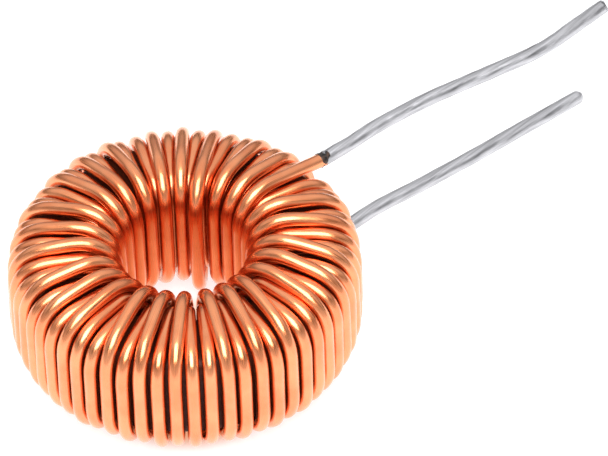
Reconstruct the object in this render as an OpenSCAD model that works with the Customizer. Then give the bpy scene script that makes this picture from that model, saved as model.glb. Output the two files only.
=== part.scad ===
// Toroidal inductor: one enamelled copper wire wound through and round a coated powder ring,
// with its two ends stripped and dipped in solder as leads.
// The ring's axis is Z, the leads leave along +X, and Z = 0 is the surface that it stands on.

/* [Core] */
// Outside diameter of the ring
core_od = 24; // [20:0.5:32]
// Diameter of the ring's own hole
core_id = 13.6; // [11.2:0.2:17]
// Height of the ring
core_h = 7.6; // [5:0.2:14]
// Radius on the ring's four rims
core_edge_r = 1; // [0.3:0.1:1.6]

/* [Wire] */
// Diameter of the bare copper
copper_d = 1; // [0.7:0.05:1.1]
// Thickness of the enamel on the copper
enamel_t = 0.03; // [0.01:0.01:0.06]
// Passes that the wire makes through the hole
turns = 61; // [30:1:64]
// Angle by which each turn runs ahead in the hole, in degrees
lean = 0; // [-2:0.5:2]
// Height from one row of turns to the next at the hole's edges, past the wire's own thickness
row_lift = 0.6; // [0.5:0.05:1]
// Height from one row to the next at the rim
rim_lift = 0.45; // [0.45:0.05:0.8]
// Room between turns at the rim under which the rows part further there
rim_room = 0.25; // [0.2:0.01:0.4]

/* [Lower lead] */
// Length of the lower lead past the rim
lower_lead_l = 25; // [12:1:60]
// Height by which it steps up past the rim
lower_step_h = 1.2; // [1:0.1:6]
// Length that the step takes
lower_step_l = 2.2; // [2:0.1:6]

/* [Upper lead] */
// Length of the upper lead from the rim to its first bend
upper_first_l = 5.5; // [4:0.5:20]
// Length from there to its second bend
upper_middle_l = 15; // [10:1:40]
// Length of its end, past that bend
upper_end_l = 7; // [7:1:20]
// How far each bend lies to the side of the lead's line
upper_sway = 0.75; // [0.2:0.05:1]
// Radius of both bends
upper_bend_r = 12; // [4:1:16]
// Height of the lead over the first row's plane
upper_lead_h = 0.6; // [0.2:0.1:1.5]

/* [Solder] */
// Thickness of the solder on the copper
solder_t = 0.05; // [0.04:0.01:0.1]
// Thickness of the solder over the copper's ends
solder_cap_t = 0.3; // [0.25:0.05:1]
// Length of enamel left on each lead before the solder
sleeve_l = 1; // [0.5:0.1:5]

/* [Fit] */
// Room between the wire and the ring
core_gap = 0.08; // [0.06:0.01:0.2]
// Least room between neighbouring turns in the hole
turn_gap = 0.02; // [0.01:0.01:0.1]

/* [Hidden] */

copper_r = copper_d / 2;
wire_r = copper_r + enamel_t;
wire_d = 2 * wire_r;
solder_r = copper_r + solder_t;
tip_edge_r = 0.2;
rod_fn = 24;
ring_fn = 96;
// The wire is swept with this many sides, and this many facets along a turn's bend and a lead's bend
wire_sides = 8;
turn_facets = 2;
lead_facets = 4;
// Room that the faceted copper needs inside its round solder
facet_gap = 0.005;
// Solder swells a hair where it is bent, and its straights run a little way into its bends
bend_swell = 0.004;
bend_lap = 0.05;

// The wire's centre line, off the ring's walls
wall_off = core_gap + wire_r;
rim_r = core_od / 2 + wall_off;
hole_r = core_id / 2 - wall_off;
bend_r = core_edge_r + wall_off;
row_step = wire_d + turn_gap;
pitch_a = 360 / turns;

// Radius of a row of turns in the hole, and how many turns fit side by side in it
function row_r(row) = hole_r - row * row_step;
function row_room(row) = floor(180 / asin(row_step / 2 / row_r(row)));

// Where a turn lies in the hole, as [row, place in the row, turns in the row].
// Each row takes as many as it has room for, and the rest are spread evenly over the next row.
function seat(k, count, row = 0) =
    let (
        here = min(count, row_room(row)),
        rest = count - here,
        before = floor(k * rest / count)
    )
    floor((k + 1) * rest / count) > before ? seat(before, rest, row + 1) : [row, k - before, here];

seats = [for (k = [0:turns - 1]) seat(k, turns)];
last_row = max([for (s = seats) s[0]]);

// A row is turned so that its turns lie, on average, halfway between their corners on the rim
function mean(list) = list * [for (v = list) 1] / len(list);
row_a = [for (row = [0:last_row])
    mean([for (k = [0:turns - 1]) if (seats[k][0] == row)
        (k + 0.5) * pitch_a - seats[k][1] * 360 / seats[k][2]])];

function hole_a(k) = lean - row_a[seats[k][0]] - seats[k][1] * 360 / seats[k][2];
function rim_a(k) = -k * pitch_a;

// Bend radius at the hole, which widens so that a row bends round the one under it
function hole_bend_r(row) = bend_r + row * row_step;

function polar(r, a, z = 0) = [r * cos(a), r * sin(a), z];

// Height that a turn gains at its hole and rim corners for every row that it lies out from the ring
row_rise = wire_d + row_lift;
rim_pitch = 2 * rim_r * sin(pitch_a / 2);
rim_rise = rim_lift + sqrt(max(0, (wire_d + rim_room)^2 - rim_pitch^2));

// Heights over the plane in which the first row's wire lies under the ring
low_z = 0;
core_z = low_z + wall_off;
high_z = core_z + core_h + wall_off;

// The corners of turn k: up through the hole, out over the top, down the rim and back to the next turn
function hole_low(k) = polar(row_r(seats[k][0]), hole_a(k), low_z - seats[k][0] * row_rise);
function hole_high(k) = polar(row_r(seats[k][0]), hole_a(k), high_z + seats[k][0] * row_rise);
function rim_high(k) = polar(rim_r, rim_a(k + 1), high_z + seats[k][0] * rim_rise);
function rim_low(k) = polar(rim_r, rim_a(k), low_z - seats[k][0] * rim_rise);

function unit(v) = v / norm(v);
function turn_of(before, corner, after) = 180 - acos(unit(before - corner) * unit(after - corner));
// Length of each leg that a bend takes up
function setback(before, corner, after, bend) = bend * tan(turn_of(before, corner, after) / 2);

// The lower lead: out under the rim, a step up, and straight to its tip
rim_x = rim_r + wire_r;
lower_rim = [rim_r, 0, low_z];
lower_knee = lower_rim + [lower_step_l, 0, lower_step_h];
lower_tip = [rim_x + lower_lead_l, 0, lower_knee.z];
lower_strip = lower_knee
    + [setback(lower_rim, lower_knee, lower_tip, bend_r) + sleeve_l, 0, 0];

// The upper lead: out from the hole's edge, a bend to one side, a bend to the other, and its tip
upper_root = hole_high(turns - 1);
upper_first = [rim_x + upper_first_l, upper_sway, high_z + upper_lead_h];
upper_second = upper_first + [upper_middle_l, -2 * upper_sway, 0];
upper_tip = upper_second + [upper_end_l, upper_sway, 0];
upper_strip = upper_root
    + (upper_first - upper_root) * (rim_x + sleeve_l - upper_root.x) / (upper_first.x - upper_root.x);

function short_of(from, to, l) = to - unit(to - from) * l;
lower_copper_tip = short_of(lower_strip, lower_tip, solder_cap_t);
upper_copper_tip = short_of(upper_second, upper_tip, solder_cap_t);

// The arc at a corner, as its centre and the direction from there to its start
function bend_centre(before, corner, after, bend) =
    let (u = unit(before - corner), v = unit(after - corner))
    corner + unit(u + v) * bend / sin(acos(u * v) / 2);
function bend_out(before, corner, after, bend) =
    let (start = corner + unit(before - corner) * setback(before, corner, after, bend))
    unit(start - bend_centre(before, corner, after, bend));

// Rings of the swept wire, each as [centre, direction, radius].
// A bend's first and last rings lie on its legs, and those between lie outside its arc,
// so that the facets straddle it.
function bend_rings(before, corner, after, bend, facets, r) =
    let (
        back = unit(before - corner),
        centre = bend_centre(before, corner, after, bend),
        out = bend_out(before, corner, after, bend),
        turn = turn_of(before, corner, after)
    )
    [for (j = [0:facets])
        let (
            a = turn * j / facets,
            reach = j == 0 || j == facets ? bend : bend / cos(turn / 2 / facets)
        )
        [centre + reach * (out * cos(a) - back * sin(a)), -out * sin(a) - back * cos(a), r]];

turns_path = concat(
    [lower_strip, lower_knee, lower_rim],
    [for (k = [0:turns - 1]) each concat(
        k == 0 ? [] : [rim_low(k)],
        [hole_low(k), hole_high(k)],
        k == turns - 1 ? [] : [rim_high(k)]
    )],
    [upper_strip]
);
turns_bends = concat(
    [0, bend_r, bend_r],
    [for (k = [0:turns - 1]) each concat(
        k == 0 ? [] : [bend_r],
        [hole_bend_r(seats[k][0]), hole_bend_r(seats[k][0])],
        k == turns - 1 ? [] : [bend_r]
    )],
    [0]
);
upper_path = [upper_strip, upper_first, upper_second, upper_tip];

lower_dir = [-1, 0, 0];
upper_dir = unit(upper_first - upper_strip);
wire_rings = concat(
    [[lower_copper_tip, lower_dir, copper_r],
        [lower_strip, lower_dir, copper_r],
        [lower_strip, lower_dir, wire_r]],
    [for (i = [1:len(turns_path) - 2])
        each bend_rings(turns_path[i - 1], turns_path[i], turns_path[i + 1], turns_bends[i],
            turn_facets, wire_r)],
    [[upper_strip, upper_dir, wire_r],
        [upper_strip, upper_dir, copper_r]],
    [for (i = [1, 2])
        each bend_rings(upper_path[i - 1], upper_path[i], upper_path[i + 1], upper_bend_r,
            lead_facets, copper_r)],
    [[upper_copper_tip, unit(upper_tip - upper_second), copper_r]]
);

// The points round a ring. Its flats face along the ring's axis and across it.
function ring_points(ring) =
    let (
        at = ring[0],
        d = ring[1],
        across = [-at.y, at.x, 0] / norm([at.x, at.y]),
        side = unit(across - d * (across * d)),
        up = cross(d, side)
    )
    [for (j = [0:wire_sides - 1])
        let (a = (j + 0.5) * 360 / wire_sides)
        at + ring[2] * (side * cos(a) + up * sin(a))];

wire_points = [for (ring = wire_rings) each ring_points(ring)];
wire_faces = concat(
    [[for (j = [0:wire_sides - 1]) j]],
    [for (i = [0:len(wire_rings) - 2], j = [0:wire_sides - 1])
        let (a = i * wire_sides, b = a + wire_sides, next = (j + 1) % wire_sides)
        [a + j, b + j, b + next, a + next]],
    [[for (j = [wire_sides - 1:-1:0]) (len(wire_rings) - 1) * wire_sides + j]]
);

// The coil stands on the lowest point of its wire
lift = -min([for (p = wire_points) p.z]);

// The columns of a frame whose Z runs along d
function frame_along(d) =
    let (side = unit(cross(abs(d.z) < 0.9 ? [0, 0, 1] : [1, 0, 0], d)))
    [side, cross(d, side), d];

module placed(columns, at) {
    multmatrix([for (i = [0:2]) [columns[0][i], columns[1][i], columns[2][i], at[i]]])
        children();
}

// The straight part of leg i of a path whose bends share one radius, lapped into the bends at its ends
module leg(path, bend, i, r) {
    along = unit(path[i + 1] - path[i]);
    used = i == 0 ? 0 : setback(path[i - 1], path[i], path[i + 1], bend) - bend_lap;
    kept = i == len(path) - 2 ? 0 : setback(path[i], path[i + 1], path[i + 2], bend) - bend_lap;
    placed(frame_along(along), path[i] + along * used)
        cylinder(r = r, h = norm(path[i + 1] - path[i]) - used - kept, $fn = rod_fn);
}

module bend_at(path, bend, i, r) {
    back = unit(path[i - 1] - path[i]);
    out = bend_out(path[i - 1], path[i], path[i + 1], bend);
    placed([out, -back, cross(out, -back)], bend_centre(path[i - 1], path[i], path[i + 1], bend))
        rotate_extrude(angle = turn_of(path[i - 1], path[i], path[i + 1]), $fn = ring_fn)
            translate([bend, 0])
                circle(r = r + bend_swell, $fn = rod_fn);
}

module rod(path, bend, r) {
    for (i = [0:len(path) - 2]) {
        leg(path, bend, i, r);
        if (i > 0)
            bend_at(path, bend, i, r);
    }
}

// A straight rod with a rounded end
module rounded_rod(from, to, r, edge) {
    l = norm(to - from);
    placed(frame_along(unit(to - from)), from)
        rotate_extrude($fn = ring_fn) {
            square([r, l - edge]);
            square([r - edge, l]);
            translate([r - edge, l - edge]) circle(r = edge, $fn = rod_fn);
        }
}

module core() {
    color([0.12, 0.12, 0.13])
        translate([0, 0, lift + core_z])
            rotate_extrude($fn = ring_fn)
                core_section();
}

// The ring's cut section, with rounded rims
module core_section() {
    e = core_edge_r;
    inner = core_id / 2;
    outer = core_od / 2;
    translate([inner + e, 0]) square([outer - inner - 2 * e, core_h]);
    translate([inner, e]) square([outer - inner, core_h - 2 * e]);
    for (x = [inner + e, outer - e], z = [e, core_h - e])
        translate([x, z]) circle(r = e, $fn = 48);
}

module winding_wire() {
    color([0.85, 0.48, 0.3])
        translate([0, 0, lift])
            polyhedron(wire_points, wire_faces, convexity = 20);
}

module lower_lead_solder() {
    color([0.75, 0.76, 0.78])
        translate([0, 0, lift])
            difference() {
                rounded_rod(lower_strip, lower_tip, solder_r, tip_edge_r);
                rod([lower_strip, lower_copper_tip], 0, copper_r + facet_gap);
            }
}

module upper_lead_solder() {
    end_from = upper_second + unit(upper_tip - upper_second)
        * (setback(upper_first, upper_second, upper_tip, upper_bend_r) - bend_lap);
    color([0.75, 0.76, 0.78])
        translate([0, 0, lift])
            difference() {
                union() {
                    for (i = [1, 2]) {
                        leg(upper_path, upper_bend_r, i - 1, solder_r);
                        bend_at(upper_path, upper_bend_r, i, solder_r);
                    }
                    rounded_rod(end_from, upper_tip, solder_r, tip_edge_r);
                }
                rod([upper_strip, upper_first, upper_second, upper_copper_tip], upper_bend_r,
                    copper_r + facet_gap);
            }
}

core();
winding_wire();
lower_lead_solder();
upper_lead_solder();
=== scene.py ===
# %% [markdown]
# # A toroidal inductor
# One thick enamelled copper wire is wound through a black coated ring, and its two ends are
# tinned with solder. The plain solids are loaded first. This lesson gives them their real look: a
# wire that wanders as hand winding does, and metal that shows it.

# %% Load the frame
import math

import bpy
import numpy as np
from mathutils import Matrix, Vector


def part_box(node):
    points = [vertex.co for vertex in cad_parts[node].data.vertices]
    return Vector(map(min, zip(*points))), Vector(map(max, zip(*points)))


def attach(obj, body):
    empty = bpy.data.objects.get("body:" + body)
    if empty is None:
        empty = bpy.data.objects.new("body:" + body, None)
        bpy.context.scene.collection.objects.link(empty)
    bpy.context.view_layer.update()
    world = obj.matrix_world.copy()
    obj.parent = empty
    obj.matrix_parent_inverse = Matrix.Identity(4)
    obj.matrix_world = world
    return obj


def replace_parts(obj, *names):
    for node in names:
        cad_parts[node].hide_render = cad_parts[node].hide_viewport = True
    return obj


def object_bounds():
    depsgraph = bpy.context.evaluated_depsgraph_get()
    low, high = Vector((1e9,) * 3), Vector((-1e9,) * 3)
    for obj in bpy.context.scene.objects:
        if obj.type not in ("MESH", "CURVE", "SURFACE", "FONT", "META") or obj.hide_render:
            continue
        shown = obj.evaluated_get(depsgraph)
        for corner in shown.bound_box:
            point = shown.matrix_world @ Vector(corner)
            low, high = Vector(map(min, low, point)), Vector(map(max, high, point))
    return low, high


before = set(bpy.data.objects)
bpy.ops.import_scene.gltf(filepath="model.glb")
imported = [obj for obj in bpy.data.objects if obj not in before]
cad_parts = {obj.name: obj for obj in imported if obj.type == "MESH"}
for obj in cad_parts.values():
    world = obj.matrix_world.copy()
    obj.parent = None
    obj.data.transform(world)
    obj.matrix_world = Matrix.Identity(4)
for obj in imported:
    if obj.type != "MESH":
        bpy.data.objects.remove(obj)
cad_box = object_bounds()
MM = 0.001
print("frame", sorted(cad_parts), "box", [[round(v / MM, 2) for v in p] for p in cad_box])

# %% [markdown]
# ## A small kit for node trees
# Geometry Nodes trees are long to write out link by link. This helper adds one node, sets its
# options and feeds its inputs in order, so that a tree reads like a list of sentences.


# %% Node kit
class Kit:
    """Adds nodes to a tree. An input is given a socket to read, or a plain value."""

    def __init__(self, tree):
        self.tree = tree

    def node(self, kind, *feeds, **options):
        """Adds a node and returns its first output. Feeds fill the inputs that show, in order.
        An option is an input's name, or else one of the node's own settings."""
        node = self.tree.nodes.new(kind)
        named = {key: options.pop(key) for key in list(options) if key in node.inputs.keys()}
        for key, value in options.items():
            setattr(node, key, value)
        for socket, value in zip([s for s in node.inputs if s.enabled], feeds):
            self.feed(socket, value)
        for key, value in named.items():
            self.feed(node.inputs[key], value)
        return next((s for s in node.outputs if s.enabled), None)

    def feed(self, socket, value):
        if isinstance(value, bpy.types.NodeSocket):
            self.tree.links.new(value, socket)
        elif value is not None:
            socket.default_value = value

    def math(self, operation, *feeds):
        return self.node("ShaderNodeMath", *feeds, operation=operation)

    def choose(self, test, no, yes):
        """no where test is 0, yes where it is 1."""
        return self.math("MULTIPLY_ADD", self.math("SUBTRACT", yes, no), test, no)

    def span(self, value, low, high, start, end, smooth=False):
        """Maps value from low-high to start-end, and holds it at the ends."""
        kind = "SMOOTHSTEP" if smooth else "LINEAR"
        return self.node("ShaderNodeMapRange", value, low, high, start, end,
                         interpolation_type=kind)

    def ramp(self, fac, *stops):
        """A colour ramp between two stops, each a position and a colour."""
        out = self.node("ShaderNodeValToRGB", fac)
        for element, (position, color) in zip(out.node.color_ramp.elements, stops):
            element.position, element.color = position, (*color, 1)
        return out


def new_tree(name, sizes):
    """A geometry tree with a geometry input, one named input for each size, and its output."""
    tree = bpy.data.node_groups.new(name, "GeometryNodeTree")
    tree.is_modifier = True
    tree.interface.new_socket("Geometry", in_out="INPUT", socket_type="NodeSocketGeometry")
    for label, value in sizes.items():
        kind = {int: "NodeSocketInt", float: "NodeSocketFloat"}.get(type(value), "NodeSocketVector")
        kind = "NodeSocketMaterial" if isinstance(value, bpy.types.Material) else kind
        tree.interface.new_socket(label, in_out="INPUT", socket_type=kind)
    tree.interface.new_socket("Geometry", in_out="OUTPUT", socket_type="NodeSocketGeometry")
    given = tree.nodes.new("NodeGroupInput").outputs
    return tree, Kit(tree), given, tree.nodes.new("NodeGroupOutput")


def grow(name, tree, sizes, source=None):
    """Runs a tree on a mesh and returns the result as a plain mesh object."""
    mesh = source or bpy.data.meshes.new(name + "_seed")
    host = bpy.data.objects.new(name + "_host", mesh)
    bpy.context.collection.objects.link(host)
    modifier = host.modifiers.new("nodes", "NODES")
    modifier.node_group = tree
    for item in tree.interface.items_tree:
        if item.in_out == "INPUT" and item.name in sizes:
            modifier[item.identifier] = sizes[item.name]
    bpy.context.view_layer.update()
    evaluated = host.evaluated_get(bpy.context.evaluated_depsgraph_get())
    grown = bpy.data.meshes.new_from_object(evaluated)
    grown.name = name
    bpy.data.objects.remove(host)
    piece = bpy.data.objects.new(name, grown)
    bpy.context.collection.objects.link(piece)
    return piece


# %% [markdown]
# ## The stage
# Bare metal shows whatever stands round it, so metal on white needs three things: a white floor,
# one broad soft light above the front, and a surround that is pale behind the part and darker
# elsewhere. The floor glows by itself, which keeps shadows pale without a second lamp. In the
# coil's hole its glow is painted copper-coloured and dimmer: painted bounce light off the copper,
# and painted shade.


# %% Floor, light and surround
def plain_mesh(name, corners, faces):
    mesh = bpy.data.meshes.new(name)
    mesh.from_pydata(corners, [], faces)
    mesh.update()
    obj = bpy.data.objects.new(name, mesh)
    bpy.context.collection.objects.link(obj)
    return obj


def new_material(name):
    """A material whose tree holds only a Principled shader and an output."""
    material = bpy.data.materials.new(name)
    material.use_nodes = True
    shader = material.node_tree.nodes["Principled BSDF"]
    return material, shader


floor_half = 1.5
floor_glow = 0.75
# Painted bounce light and shade: round this spot in the coil's hole the floor's glow is painted
# copper-coloured and dimmer
painted_bounce_spot = (-1.8 * MM, -2.5 * MM)
painted_bounce_reach = (6.6 * MM, 8.4 * MM)
painted_bounce_tint, white = (0.80, 0.42, 0.24), (1, 1, 1)
floor_z = cad_box[0][2]
floor = plain_mesh("floor", [(x * floor_half, y * floor_half, floor_z)
                             for x, y in ((-1, -1), (1, -1), (1, 1), (-1, 1))], [(0, 1, 2, 3)])
floor_paper, shader = new_material("white_floor")
shader.inputs["Base Color"].default_value = (0.5, 0.5, 0.5, 1)
shader.inputs["Roughness"].default_value = 0.9
shader.inputs["Specular IOR Level"].default_value = 0.1
kit = Kit(floor_paper.node_tree)
place = kit.node("ShaderNodeTexCoord").node.outputs["Object"]
off_spot = kit.node("ShaderNodeVectorMath", place, (*painted_bounce_spot, floor_z), operation="DISTANCE")
off_spot = off_spot.node.outputs["Value"]
# The painted bounce light fades to the plain white glow between the two reaches
whiteness = kit.span(off_spot, *painted_bounce_reach, 0.0, 1.0, smooth=True)
kit.feed(shader.inputs["Emission Color"],
         kit.ramp(whiteness, (0.0, painted_bounce_tint), (1.0, white)))
shader.inputs["Emission Strength"].default_value = floor_glow
floor.data.materials.append(floor_paper)

# The surround is dark near the far horizon and high on the near side, and pale elsewhere
dark, far_light, near_light = 0.2, 0.7, 0.5
away = (0.588, 0.809, 0.0)  # Level, the way that the camera looks
world = bpy.data.worlds.new("studio")
bpy.context.scene.world = world
world.use_nodes = True
kit = Kit(world.node_tree)
way = kit.node("ShaderNodeTexCoord").node.outputs["Generated"]
height = kit.node("ShaderNodeSeparateXYZ", way).node.outputs["Z"]
behind = kit.node("ShaderNodeVectorMath", way, away, operation="DOT_PRODUCT")
far = kit.span(behind.node.outputs["Value"], -0.45, 0.25, 0.0, 1.0, smooth=True)
high = kit.span(height, 0.15, 0.6, 0.0, 1.0, smooth=True)
low = kit.span(height, 0.25, 0.45, 1.0, 0.0, smooth=True)
near_low = kit.math("MULTIPLY", kit.math("SUBTRACT", 1.0, far), low)
glow = kit.math("MULTIPLY_ADD", kit.math("MULTIPLY", far, high), far_light, dark)
glow = kit.math("MULTIPLY_ADD", near_low, near_light, glow)
background = world.node_tree.nodes["Background"]
background.inputs["Color"].default_value = (1, 1, 1, 1)
kit.feed(background.inputs["Strength"], glow)


def softbox(name, place, size, power, aim=(0, 0, 6 * MM)):
    """A rectangular lamp at place, in metres, that looks at aim."""
    lamp = bpy.data.lights.new(name, "AREA")
    lamp.shape, lamp.size, lamp.size_y = "RECTANGLE", size[0], size[1]
    lamp.energy = power
    obj = bpy.data.objects.new(name, lamp)
    obj.location = place
    obj.rotation_euler = (Vector(aim) - Vector(place)).to_track_quat("-Z", "Y").to_euler()
    bpy.context.collection.objects.link(obj)


softbox("front_softbox", place=(-0.135, -0.186, 0.444), size=(0.4, 0.4), power=3.0)
print("floor at", round(floor_z / MM, 3), "mm")

# %% [markdown]
# ## The camera
# The part is seen from well above. A long lens far away keeps lines that are parallel on the part
# parallel, and the camera aims beside the coil, so that the leads have room on the right.

# %% Camera
view_azimuth, view_elevation, view_roll = (math.radians(a) for a in (36, 45, -2))
camera_distance = 530 * MM
forward = Vector((math.cos(view_elevation) * math.sin(view_azimuth),
                  math.cos(view_elevation) * math.cos(view_azimuth), -math.sin(view_elevation)))
level = Vector((math.cos(view_azimuth), -math.sin(view_azimuth), 0))
upright = level.cross(forward)
right = level * math.cos(view_roll) + upright * math.sin(view_roll)
above = upright * math.cos(view_roll) - level * math.sin(view_roll)
aim_right, aim_above = 8.885, 4.452
aim = Vector((0, 0, 6 * MM)) + right * aim_right * MM + above * aim_above * MM
lens = bpy.data.cameras.new("camera")
lens.lens, lens.sensor_width = 418, 36
lens.clip_start, lens.clip_end = 0.01, 10
camera = bpy.data.objects.new("camera", lens)
camera.matrix_world = Matrix.Translation(aim - forward * camera_distance) @ Matrix(
    (right, above, -forward)).transposed().to_4x4()
bpy.context.collection.objects.link(camera)
bpy.context.scene.camera = camera
bpy.context.scene.view_settings.view_transform = "Standard"
print("camera at", [round(v, 3) for v in camera.location])

# %% [markdown]
# ## Where each turn lies
# Sixty-one turns fill the outside of the ring side by side, but the hole is smaller: only
# thirty-five fit against its wall, so every second or third turn has to climb over its neighbours
# and lie in a second row. The rule below seats each turn in its row. Four corners carry a turn:
# under the rim, into the hole, out of the hole, and over the rim.

# %% Sizes of the winding
turns = 61
first_row = 35
wire_r, clearance = 0.53, 0.08
ring_outer, ring_inner, ring_edge = 12.0, 6.8, 1.0
ring_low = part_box("core")[0][2] / MM
ring_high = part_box("core")[1][2] / MM
wall_off = wire_r + clearance
row_step = 2 * wire_r + 0.02
bend_r = ring_edge + wall_off
# Wire wound by hand bulges over the ring's outer edge, and stands off its wall and top
rim_bend_r, stand_off, arch = 2.8, 0.15, 0.1
low_z, high_z = ring_low - wall_off, ring_high + wall_off
rim_r, hole_r = ring_outer + wall_off, ring_inner - wall_off
climb, rim_climb = 1.66, 0.12
lead_step = 1.2
lower_strip = (15.4, 0.0, low_z + lead_step)
lower_knee = (14.81, 0.0, low_z + lead_step)
upper_strip = (13.4, 0.3, high_z + 0.45)


def mean_turn(row):
    """The mean turn in degrees that brings a row's seats under their own turns at the rim."""
    spare = turns - first_row
    off, seats = [], (first_row, spare)[row]
    for turn in range(turns):
        before = turn * spare // turns
        if (turn + 1) * spare // turns - before == row:
            seat = before if row else turn - before
            off.append((turn + 0.5) * 360 / turns - seat * 360 / seats)
    return sum(off) / len(off)


row_turn = mean_turn(0), mean_turn(1)
print("ring from", round(ring_low, 3), "to", round(ring_high, 3), "mm, rows turned by",
      [round(a, 3) for a in row_turn], "degrees")

# %% Material of the enamelled wire
copper, shader = new_material("enamelled_copper")
kit = Kit(copper.node_tree)
along = kit.node("ShaderNodeAttribute", attribute_name="along", attribute_type="GEOMETRY")
along_fac = along.node.outputs["Fac"]
round_vec = kit.node("ShaderNodeAttribute", attribute_name="round").node.outputs["Vector"]
place = kit.node("ShaderNodeTexCoord").node.outputs["Object"]
# Drawing lines: noise that hardly changes along the wire and quickly round it
run = kit.node("ShaderNodeCombineXYZ", kit.math("MULTIPLY", along_fac, 60.0), 0.0, 0.0)
line_at = kit.node("ShaderNodeVectorMath", round_vec, run, operation="ADD")
lines = kit.node("ShaderNodeTexNoise", Vector=line_at, Scale=9.0, Detail=3.0)
cloud = kit.node("ShaderNodeTexNoise", Vector=place, Scale=420.0, Detail=4.0)
kit.feed(shader.inputs["Base Color"],
         kit.ramp(cloud, (0.3, (0.86, 0.30, 0.13)), (0.62, (0.96, 0.41, 0.21))))
shader.inputs["Metallic"].default_value = 1.0
kit.feed(shader.inputs["Roughness"], kit.span(lines, 0.3, 0.7, 0.2, 0.4))
bump = kit.node("ShaderNodeBump", Strength=0.25, Distance=0.02 * MM, Height=lines)
kit.feed(shader.inputs["Normal"], bump)
shader.inputs["Coat Weight"].default_value = 1.0
shader.inputs["Coat Roughness"].default_value = 0.06
shader.inputs["Coat Tint"].default_value = (1.0, 0.86, 0.72, 1)

# %% The winding rule as a tree
sizes = {"Turns": turns, "First row": first_row, "Rim radius": rim_r + stand_off,
         "Hole radius": hole_r, "Row step": row_step, "Low": low_z, "High": high_z + arch,
         "Row rise": climb, "Rim rise": rim_climb, "First turn": row_turn[0],
         "Second turn": row_turn[1], "Bend": bend_r, "Rim bend": rim_bend_r,
         "Side wander": 0.3, "Rise wander": 0.2, "Slack turn": 53, "Slack": 0.9, "Seed": 11,
         "Step": 0.45, "Lower strip": lower_strip, "Lower knee": lower_knee,
         "Upper strip": upper_strip, "Material": copper}
tree, kit, given, result = new_tree("winding_rule", sizes)
corners, leading = 4.0, 2.0  # The strip and the knee come before the first turn's corners
count = kit.math("MULTIPLY_ADD", given["Turns"], corners, leading)
line = kit.node("GeometryNodeMeshLine", count)
index = kit.node("GeometryNodeInputIndex")
corner_index = kit.math("SUBTRACT", index, leading)
turn = kit.math("FLOOR", kit.math("DIVIDE", corner_index, corners))
corner = kit.math("SUBTRACT", corner_index, kit.math("MULTIPLY", turn, corners))
spare = kit.math("SUBTRACT", given["Turns"], given["First row"])


def climbed(number):
    """How many of the first number of turns lie in the second row."""
    share = kit.math("DIVIDE", kit.math("MULTIPLY", number, spare), given["Turns"])
    return kit.math("FLOOR", share)


before = climbed(turn)
row = kit.math("GREATER_THAN", climbed(kit.math("ADD", turn, 1.0)), before)
seat = kit.choose(row, kit.math("SUBTRACT", turn, before), before)
seats = kit.choose(row, given["First row"], spare)
full = 2 * math.pi


def shared(number, spread, seed_shift):
    """A random number for each turn or corner, from minus to plus spread."""
    return kit.node("FunctionNodeRandomValue", kit.math("MULTIPLY", spread, -1.0), spread, number,
                    kit.math("ADD", given["Seed"], float(seed_shift)), data_type="FLOAT")


# Corners 1 and 2 are in the hole, and corners 2 and 3 are on top
top = kit.math("GREATER_THAN", corner, 1.5)
in_hole = kit.math("LESS_THAN", kit.math("ABSOLUTE", kit.math("SUBTRACT", corner, 1.5)), 1.0)
next_rim = kit.math("ADD", turn, kit.math("GREATER_THAN", corner, 2.5))
row_angle = kit.math("RADIANS", kit.choose(row, given["First turn"], given["Second turn"]))
hole_angle = kit.math("SUBTRACT", kit.math("MULTIPLY", kit.math("DIVIDE", seat, seats), -full),
                      row_angle)
rim_angle = kit.math("MULTIPLY", kit.math("DIVIDE", next_rim, given["Turns"]), -full)
rim_wander = kit.math("RADIANS", shared(next_rim, given["Side wander"], 0))
rim_angle = kit.math("ADD", rim_angle, rim_wander)
hole_wander = kit.math("RADIANS", shared(turn, given["Side wander"], 1))
hole_angle = kit.math("ADD", hole_angle, hole_wander)
angle = kit.choose(in_hole, rim_angle, hole_angle)
seat_depth = kit.math("MULTIPLY", row, given["Row step"])
seat_radius = kit.math("SUBTRACT", given["Hole radius"], seat_depth)
radius = kit.choose(in_hole, given["Rim radius"], seat_radius)
# One turn was not pulled tight, and hangs free in the hole
hanging = kit.math("MULTIPLY", in_hole, kit.math("COMPARE", turn, given["Slack turn"], 0.5))
radius = kit.math("SUBTRACT", radius, kit.math("MULTIPLY", hanging, given["Slack"]))
rise = kit.math("MULTIPLY", row, kit.choose(in_hole, given["Rim rise"], given["Row rise"]))
lift = kit.math("ABSOLUTE", shared(corner_index, given["Rise wander"], 2))
rise = kit.math("ADD", rise, lift)
height = kit.choose(top, kit.math("SUBTRACT", given["Low"], rise),
                    kit.math("ADD", given["High"], rise))
at = kit.node("ShaderNodeCombineXYZ", kit.math("MULTIPLY", radius, kit.math("COSINE", angle)),
              kit.math("MULTIPLY", radius, kit.math("SINE", angle)), height)


def at_point(number, spot, otherwise):
    """Puts the point of that number at the spot, and every other point at its own place."""
    here = kit.node("FunctionNodeCompare", index, number, data_type="INT", operation="EQUAL")
    return kit.node("GeometryNodeSwitch", here, otherwise, spot, input_type="VECTOR")


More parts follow.
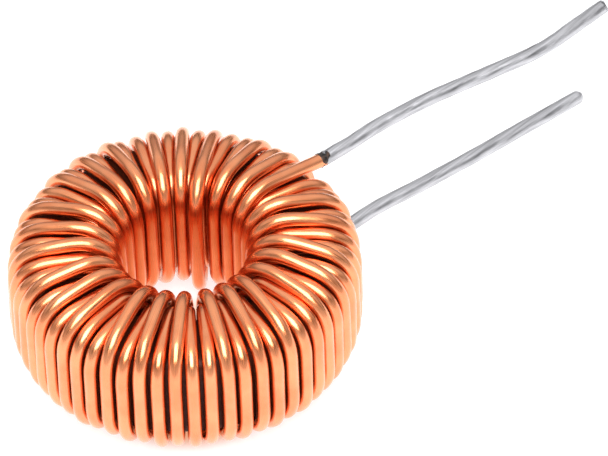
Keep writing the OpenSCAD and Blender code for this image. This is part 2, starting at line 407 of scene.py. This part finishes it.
at = at_point(0, given["Lower strip"], at)
at = at_point(1, given["Lower knee"], at)
last = kit.math("SUBTRACT", count, 1.0)
at = at_point(last, given["Upper strip"], at)
line = kit.node("GeometryNodeSetPosition", line, None, at)
hole_bend = kit.math("MULTIPLY_ADD", row, given["Row step"], given["Bend"])
bend = kit.choose(in_hole, given["Rim bend"], hole_bend)
line = kit.node("GeometryNodeStoreNamedAttribute", line, None, "bend", bend,
                data_type="FLOAT", domain="POINT")
curve = kit.node("GeometryNodeMeshToCurve", line)
held = kit.node("GeometryNodeInputNamedAttribute", "bend", data_type="FLOAT")
curve = kit.node("GeometryNodeFilletCurve", curve, mode="POLY")
for name, value in (("Count", 6), ("Radius", held), ("Limit Radius", True)):
    kit.feed(curve.node.inputs[name], value)
curve = kit.node("GeometryNodeResampleCurve", curve, mode="LENGTH")
kit.feed(curve.node.inputs["Length"], given["Step"])
wire = kit.node("GeometryNodeRealizeInstances", kit.node("GeometryNodeCurveToMesh", curve))
kit.feed(result.inputs["Geometry"],
         kit.node("GeometryNodeSetMaterial", wire, None, given["Material"]))

ruled = grow("ruled_line", tree, sizes)
line_points = np.empty(3 * len(ruled.data.vertices))
ruled.data.vertices.foreach_get("co", line_points)
line_points = line_points.reshape(-1, 3)
steps = np.linalg.norm(np.diff(line_points, axis=0), axis=1)
print("wound line of", len(line_points), "points,", round(steps.sum(), 1), "mm long")

# %% [markdown]
# ## Settling the wire
# Wire that is pulled tight comes to rest where it touches: on the ring, or on the turns under it.
# A few dozen rounds of three small moves find that rest. Each point drifts towards the middle of
# its neighbours, as under tension, but the wire's spring keeps most of the bend that it was given.
# Points of two turns that are closer than one thickness part. And no point may come nearer to the
# ring than the wire's own radius. The first and last stretch is held, where the leads leave.


# %% Settle
apart = 2 * wire_r


def near_pairs(points, reach=1.7 * apart, skip=7, batch=500):
    """Pairs of points nearer than reach that are more than skip apart along the wire."""
    first, second = [], []
    square = (points ** 2).sum(1)
    for start in range(0, len(points), batch):
        block = points[start:start + batch]
        gap = square[start:start + batch, None] + square[None, :] - 2 * block @ points.T
        i, j = np.nonzero(gap < reach ** 2)
        i = i + start
        keep = j - i > skip
        first.append(i[keep])
        second.append(j[keep])
    return np.concatenate(first), np.concatenate(second)


def ring_gap(points):
    """Distance from each point to the ring's surface, and the way out."""
    radius = np.hypot(points[:, 0], points[:, 1])
    middle = np.array([(ring_outer + ring_inner) / 2, (ring_low + ring_high) / 2])
    half = np.array([(ring_outer - ring_inner) / 2, (ring_high - ring_low) / 2]) - ring_edge
    off = np.stack([radius, points[:, 2]], 1) - middle
    over = np.abs(off) - half
    outside = np.maximum(over, 0)
    length = np.linalg.norm(outside, axis=1)
    gap = length + np.minimum(over.max(1), 0) - ring_edge
    way = np.where(length[:, None] > 1e-9, outside / np.maximum(length, 1e-9)[:, None],
                   (over == over.max(1)[:, None]).astype(float)) * np.sign(off)
    return gap, np.stack([way[:, 0] * points[:, 0] / radius, way[:, 0] * points[:, 1] / radius,
                          way[:, 1]], 1)


def settle(points, free, rounds, pull, spring, parts_per_round=4, side_push=0.5, haste=1.4,
           rounds_per_search=6):
    """Moves the points to rest and returns them, with the least gap between the turns' lines."""
    points = points.copy()
    bent = spring * ((points[:-2] + points[2:]) / 2 - points[1:-1])
    for n in range(rounds):
        if n % rounds_per_search == 0:
            i, j = near_pairs(points)
        middle = (points[:-2] + points[2:]) / 2
        points[1:-1] += pull * (middle - points[1:-1] - bent) * free[1:-1, None]
        for _ in range(parts_per_round):
            way = points[j] - points[i]
            gap = np.linalg.norm(way, axis=1)
            push = np.maximum(apart - gap, 0)
            hit = push > 0
            shift = way[hit] / gap[hit, None] * push[hit, None] * side_push
            move, hits = np.zeros_like(points), np.zeros(len(points))
            np.add.at(move, i[hit], -shift)
            np.add.at(move, j[hit], shift)
            np.add.at(hits, i[hit], 1)
            np.add.at(hits, j[hit], 1)
            points += move / np.maximum(hits, 1)[:, None] * haste * free[:, None]
            gap, way = ring_gap(points)
            points += way * np.maximum(wire_r - gap, 0)[:, None] * free[:, None]
    i, j = near_pairs(points)
    return points, np.linalg.norm(points[j] - points[i], axis=1).min()


path_length = np.concatenate([[0], np.cumsum(steps)])
held_length, ease_length = 4.5, 3.0
from_end = np.minimum(path_length, path_length[-1] - path_length)
free = np.clip((from_end - held_length) / ease_length, 0, 1)
settled, least = settle(line_points, free, rounds=60, pull=0.25, spring=0.85)
print("settled: least gap between turns", round(least - apart, 3), "mm, to the ring",
      round(ring_gap(settled)[0].min() - wire_r, 3), "mm, length",
      round(np.linalg.norm(np.diff(settled, axis=0), axis=1).sum(), 1), "mm")

# %% [markdown]
# ## From line to wire
# A second tree turns any line into round wire: it rounds the line off, walks along it in even
# steps, and sweeps a circle. It also writes down how far along and how far round each point lies,
# so that the drawing lines in the metal can follow the wire through every bend.

# %% Sweep tree
swell = 1.02  # Neighbours press together a little
sizes = {"Radius": swell * wire_r * MM, "Step": 0.36 * MM, "Sides": 16, "Lumps": 0.0,
         "Lump size": 1.0, "Material": copper}
sweep, kit, given, result = new_tree("round_wire", sizes)
curve = kit.node("GeometryNodeMeshToCurve", given["Geometry"])
curve = kit.node("GeometryNodeCurveSplineType", curve, spline_type="CATMULL_ROM")
curve = kit.node("GeometryNodeResampleCurve", curve, mode="LENGTH")
kit.feed(curve.node.inputs["Length"], given["Step"])
length = kit.node("GeometryNodeSplineParameter").node.outputs["Length"]
curve = kit.node("GeometryNodeStoreNamedAttribute", curve, None, "along", length,
                 data_type="FLOAT", domain="POINT")
profile = kit.node("GeometryNodeCurvePrimitiveCircle", given["Sides"], Radius=given["Radius"])
spot = kit.node("GeometryNodeInputPosition")
spot = kit.node("ShaderNodeVectorMath", spot, operation="NORMALIZE")
profile = kit.node("GeometryNodeStoreNamedAttribute", profile, None, "round", spot,
                   data_type="FLOAT_VECTOR", domain="POINT")
tube = kit.node("GeometryNodeCurveToMesh", curve, profile)
kit.feed(tube.node.inputs["Fill Caps"], True)
noise = kit.node("ShaderNodeTexNoise", Vector=kit.node("GeometryNodeInputPosition"),
                 Scale=given["Lump size"], Detail=2.0)
push = kit.math("MULTIPLY", kit.math("SUBTRACT", noise, 0.5), given["Lumps"])
facing = kit.node("GeometryNodeInputNormal")
tube = kit.node("GeometryNodeSetPosition", tube, None, None,
                kit.node("ShaderNodeVectorMath", facing, Scale=push, operation="SCALE"))
tube = kit.node("GeometryNodeSetShadeSmooth", tube)
tube = kit.node("GeometryNodeRealizeInstances", tube)
kit.feed(result.inputs["Geometry"],
         kit.node("GeometryNodeSetMaterial", tube, None, given["Material"]))


def swept(name, points, slot, **changed):
    """Sweeps a wire along points, in millimetres, with some of the tree's sizes changed."""
    mesh = bpy.data.meshes.new(name + "_line")
    mesh.from_pydata([tuple(p) for p in np.asarray(points) * MM],
                     [(i, i + 1) for i in range(len(points) - 1)], [])
    changed = {label.replace("_", " ").capitalize(): value for label, value in changed.items()}
    piece = grow(name, sweep, {**sizes, **changed}, mesh)
    print(name, sum(len(p.vertices) - 2 for p in piece.data.polygons), "triangles")
    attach(piece, "root")
    return piece


bpy.data.objects.remove(ruled)
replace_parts(swept("winding", settled, "enamelled_copper"), "winding_wire")

# %% [markdown]
# ## The tinned leads
# Each end of the wire is stripped and dipped in solder. Solder freezes with a slightly lumpy skin
# and streaks along the lead, so the same sweep is used with small lumps, and its finish is a
# bright metal whose roughness changes in long streaks.

# %% Solder
solder, shader = new_material("solder")
kit = Kit(solder.node_tree)
along = kit.node("ShaderNodeAttribute", attribute_name="along", attribute_type="GEOMETRY")
along_fac = along.node.outputs["Fac"]
round_vec = kit.node("ShaderNodeAttribute", attribute_name="round").node.outputs["Vector"]
place = kit.node("ShaderNodeTexCoord").node.outputs["Object"]
run = kit.node("ShaderNodeCombineXYZ", kit.math("MULTIPLY", along_fac, 220.0), 0.0, 0.0)
streak_at = kit.node("ShaderNodeVectorMath", round_vec, run, operation="ADD")
streaks = kit.node("ShaderNodeTexNoise", Vector=streak_at, Scale=2.2, Detail=5.0)
pits = kit.node("ShaderNodeTexNoise", Vector=place, Scale=1800.0, Detail=4.0)
kit.feed(shader.inputs["Base Color"],
         kit.ramp(streaks, (0.35, (0.40, 0.40, 0.42)), (0.62, (0.66, 0.66, 0.69))))
shader.inputs["Metallic"].default_value = 1.0
kit.feed(shader.inputs["Roughness"], kit.span(streaks, 0.3, 0.7, 0.28, 0.5))
skin = kit.math("ADD", kit.math("MULTIPLY", streaks, 0.7), kit.math("MULTIPLY", pits, 0.3))
kit.feed(shader.inputs["Normal"],
         kit.node("ShaderNodeBump", Strength=0.6, Distance=0.08 * MM, Height=skin))

# %% Tinned leads
solder_r = 0.55
lead_z = high_z + 0.6
low_lead_z = low_z + lead_step
upper_line = [upper_strip, (15.6, 0.34, high_z + 0.5), (18.64, 0.5, lead_z - 0.05),
              (22.6, 0.36, lead_z + 0.05), (26.2, 0.05, lead_z), (29.4, -0.35, lead_z),
              (32.2, -0.68, lead_z), (34.4, -0.72, lead_z), (37.2, -0.38, lead_z),
              (40.64, 0.0, lead_z)]
lower_line = [lower_strip, (18.0, 0.12, low_lead_z + 0.08), (22.0, 0.03, low_lead_z),
              (26.0, -0.04, low_lead_z), (33.0, -0.02, low_lead_z), (38.14, 0.0, low_lead_z)]


def rounded(points, spacing):
    """The same line with evenly spaced points on smooth arcs through the given ones."""
    points = np.array(points, float)
    at = np.concatenate([[0], np.cumsum(np.linalg.norm(np.diff(points, axis=0), axis=1))])
    even = np.linspace(0, at[-1], int(at[-1] / spacing) + 1)
    slope = np.gradient(points, at, axis=0)
    cell = np.clip(np.searchsorted(at, even, "right") - 1, 0, len(at) - 2)
    width = (at[cell + 1] - at[cell])[:, None]
    t = (even - at[cell])[:, None] / width
    return ((1 + 2 * t) * (1 - t) ** 2 * points[cell] + t * (1 - t) ** 2 * width * slope[cell]
            + t ** 2 * (3 - 2 * t) * points[cell + 1] + t ** 2 * (t - 1) * width * slope[cell + 1])


def blunt(piece, tip, way, edge, slant, narrowing=0.38):
    """Rounds the end of a swept lead at tip over a short edge, then nips it off on a slant."""
    tip, way = Vector(tip) * MM, Vector(way).normalized()
    for v in piece.data.vertices:
        back = (tip - v.co).dot(way)
        if back < edge * MM:
            centre = tip - way * back
            share = 1 - max(back, 0) / (edge * MM)
            v.co = centre + (v.co - centre) * (1 - narrowing * share ** 2)
            v.co -= way * max(0.0, (v.co - tip).dot(Vector(slant)))


for name, line, lumps, lump_size, way, edge, slant in (
        ("upper_lead", upper_line, 0.11 * MM, 700.0, (0.994, 0.107, 0), 0.3, (0, -0.5, 0.6)),
        ("lower_lead", lower_line, 0.08 * MM, 600.0, (1, 0, 0), 0.45, (0, 0, 0))):
    lead = swept(name, rounded(line, spacing=0.4), "solder", radius=solder_r * MM, material=solder,
                 lumps=lumps, lump_size=lump_size, step=0.2 * MM, sides=24)
    blunt(lead, line[-1], way, edge, slant)
    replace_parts(lead, name + "_solder")

# %% [markdown]
# ## Burnt flux
# Where the enamel was stripped in hot solder, a dark crust of flux is left round the root of the
# upper lead. It is a short, much lumpier sweep, in a glassy dark brown.

# %% Flux crust
crust, shader = new_material("burnt_flux")
kit = Kit(crust.node_tree)
place = kit.node("ShaderNodeTexCoord").node.outputs["Object"]
grain = kit.node("ShaderNodeTexNoise", Vector=place, Scale=3500.0, Detail=4.0)
kit.feed(shader.inputs["Base Color"],
         kit.ramp(grain, (0.42, (0.006, 0.005, 0.005)), (0.68, (0.09, 0.04, 0.02))))
kit.feed(shader.inputs["Roughness"], kit.span(grain, 0.3, 0.7, 0.2, 0.7))
kit.feed(shader.inputs["Normal"],
         kit.node("ShaderNodeBump", Strength=0.8, Distance=0.1 * MM, Height=grain))
root = np.array(upper_line[0])
way = np.array(upper_line[1]) - root
way /= np.linalg.norm(way)
crust_reach = (-0.35, -0.1, 0.15, 0.4)
swept("flux_crust", [root + way * reach for reach in crust_reach], "solder", radius=0.56 * MM,
      material=crust, lumps=0.55 * MM, lump_size=1500.0, step=0.06 * MM, sides=28)

# %% [markdown]
# ## The ring
# Only slits of the ring show between the turns. Its coating is a satin near-black, finely
# grained, and the red-brown of its base colour is painted bounce light off the copper that fills
# the slits.

# %% Core coating
coating_and_painted_bounce, shader = new_material("core_coating")
kit = Kit(coating_and_painted_bounce.node_tree)
place = kit.node("ShaderNodeTexCoord").node.outputs["Object"]
grain = kit.node("ShaderNodeTexNoise", Vector=place, Scale=2500.0, Detail=3.0)
# Painted bounce light: this red-brown base colour stands in for copper-coloured light in the slits,
# and the coating itself is near-black
shader.inputs["Base Color"].default_value = (0.09, 0.016, 0.005, 1)
shader.inputs["Specular IOR Level"].default_value = 0.25
kit.feed(shader.inputs["Roughness"], kit.span(grain, 0.3, 0.7, 0.35, 0.6))
kit.feed(shader.inputs["Normal"],
         kit.node("ShaderNodeBump", Strength=0.5, Distance=0.06 * MM, Height=grain))
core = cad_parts["core"]
core.data.materials.clear()
core.data.materials.append(coating_and_painted_bounce)
